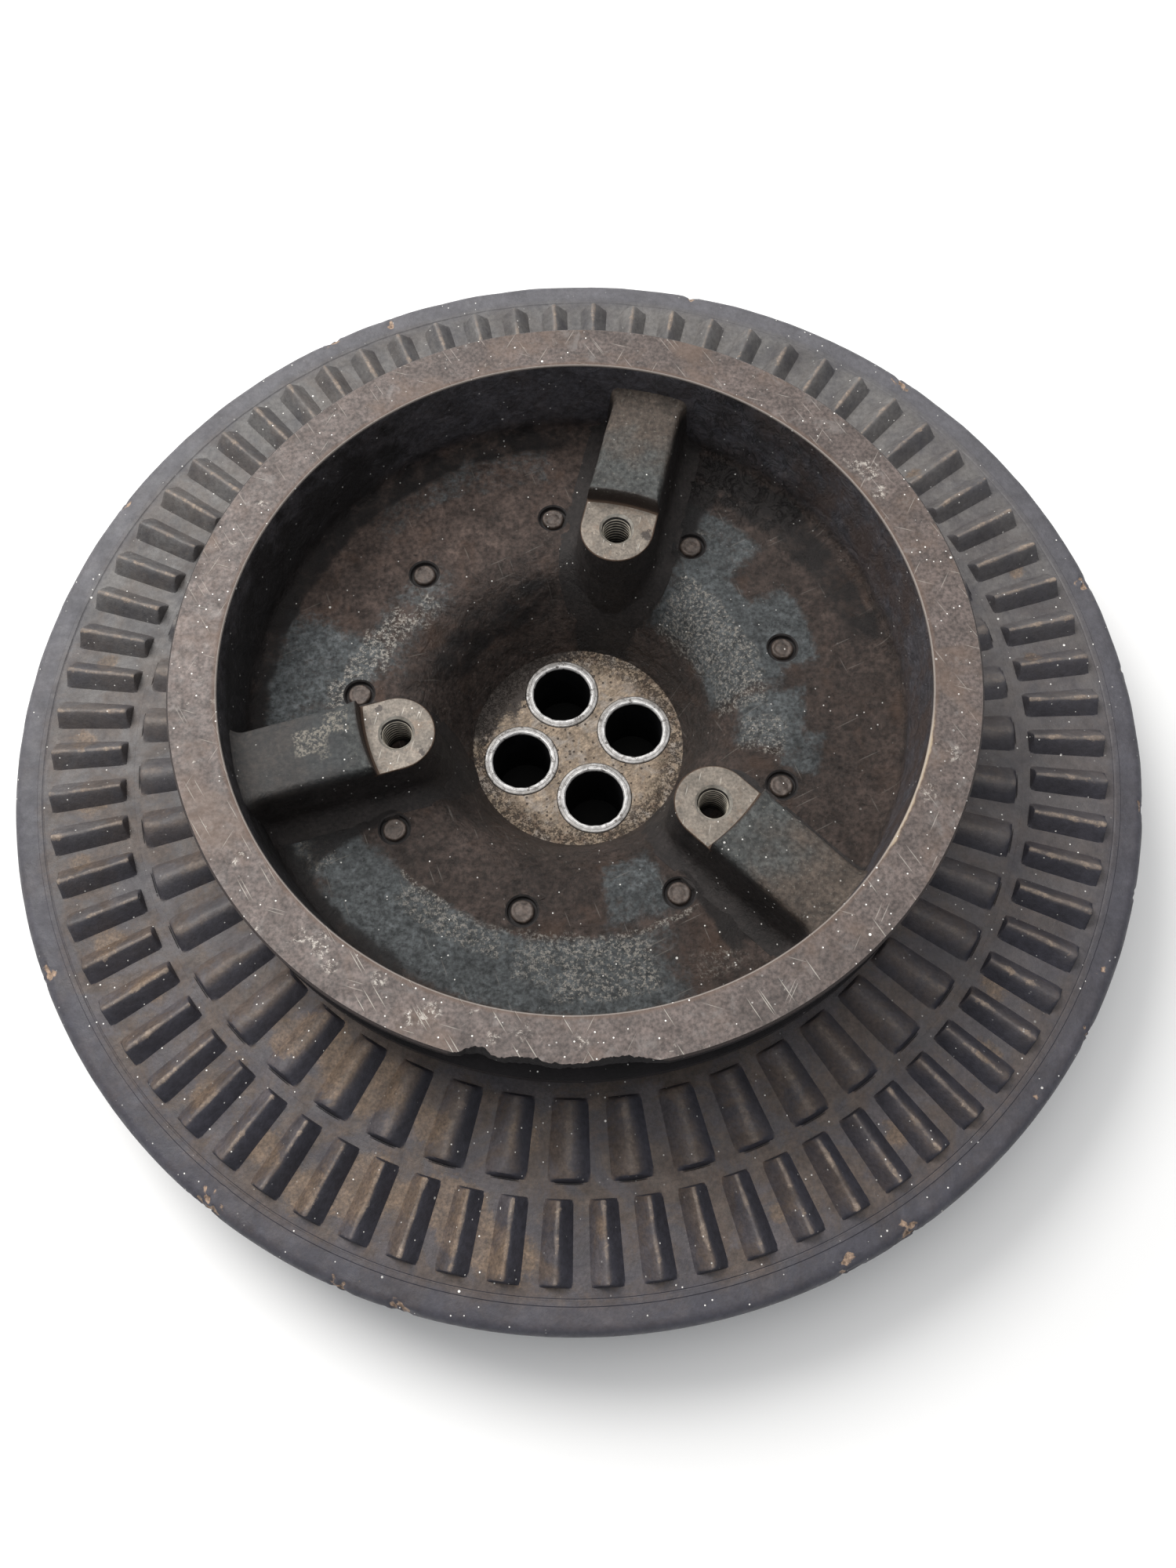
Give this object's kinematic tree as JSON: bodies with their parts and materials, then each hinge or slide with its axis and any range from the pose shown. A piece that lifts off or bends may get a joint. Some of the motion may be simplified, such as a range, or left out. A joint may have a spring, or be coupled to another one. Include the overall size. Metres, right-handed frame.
{
  "type": "crankshaft pulley with vibration damper",
  "caption": "Cup-shaped cast-iron V-belt pulley for an engine crankshaft, with inner lugs and a rubber-covered, ribbed torsional vibration damper disc behind it.",
  "frame": {"origin": "centre of the hub's back face, which seats on the crankshaft; lowest point of the part as it lies on its back", "axes": "+Z along the axis of rotation, out of the open mouth of the cup; +X and +Y in the plane of the hub's back face"},
  "size_m": [0.36, 0.36, 0.0926],
  "materials": {
    "casting": "rough cast with remnants of grey paint; ring, hub and lug faces machined",
    "bush_steel": "bright turned steel",
    "rivet_steel": "dull, lightly rusted",
    "plate_steel": "satin black",
    "rubber": "matt moulded rubber, dusty and worn on the ribs",
    "ring_iron": "turned iron"
  },
  "bodies": {
    "pulley": {"pulley_hub": "casting", "belt_ring": "casting", "threaded_lugs": "casting", "hub_bush_1": "bush_steel", "hub_bush_2": "bush_steel", "hub_bush_3": "bush_steel", "hub_bush_4": "bush_steel", "rivet_1": "rivet_steel", "rivet_2": "rivet_steel", "rivet_3": "rivet_steel", "rivet_4": "rivet_steel", "rivet_5": "rivet_steel", "rivet_6": "rivet_steel", "rivet_7": "rivet_steel", "rivet_8": "rivet_steel", "rivet_9": "rivet_steel", "carrier_plate": "plate_steel", "spring_rubber_front": "rubber", "spring_rubber_back": "rubber"},
    "damper": {"inertia_ring": "ring_iron", "ribbed_cover": "rubber", "back_cover": "rubber"}
  },
  "joints": [
    {"name": "inertia_ring_twist", "type": "hinge", "parent": "pulley", "child": "damper", "pos_m": [0, 0, 0.0263], "axis": [0, 0, 1], "range_deg": [-1.5, 1.5], "stiffness_Nm_per_rad": 6000}
  ]
}
